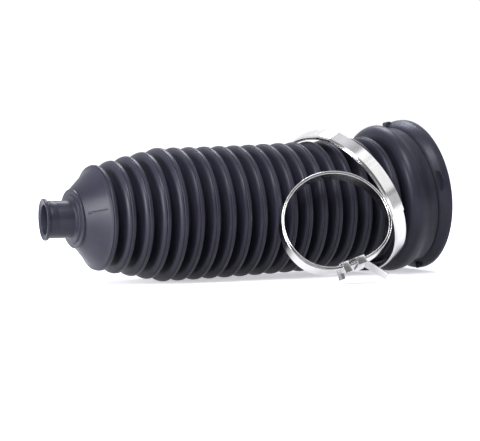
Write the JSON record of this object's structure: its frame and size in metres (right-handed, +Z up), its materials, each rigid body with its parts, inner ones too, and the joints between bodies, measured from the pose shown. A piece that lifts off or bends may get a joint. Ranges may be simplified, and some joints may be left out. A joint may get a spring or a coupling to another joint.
{
  "type": "steering rack boot",
  "caption": "Ribbed rubber bellows for a steering rack, narrow at the tie rod end and wide at the rack end, lying with its loose strip clamps.",
  "frame": {"origin": "centre of the rack end's face, on the axis of the bore that fits the rack housing", "axes": "+X level, from the tie rod end to the rack end, with the boot lying on its side; +Z up"},
  "size_m": [0.2124, 0.1127, 0.0782],
  "materials": {
    "rubber": "satin moulded rubber",
    "large_band": "bright strip",
    "small_band": "bright strip",
    "buckle": "bright sheet"
  },
  "bodies": {
    "root": {"rubber_boot": "rubber", "large_clamp_band": "large_band", "small_clamp_band": "small_band", "small_clamp_buckle": "buckle"}
  },
  "joints": []
}
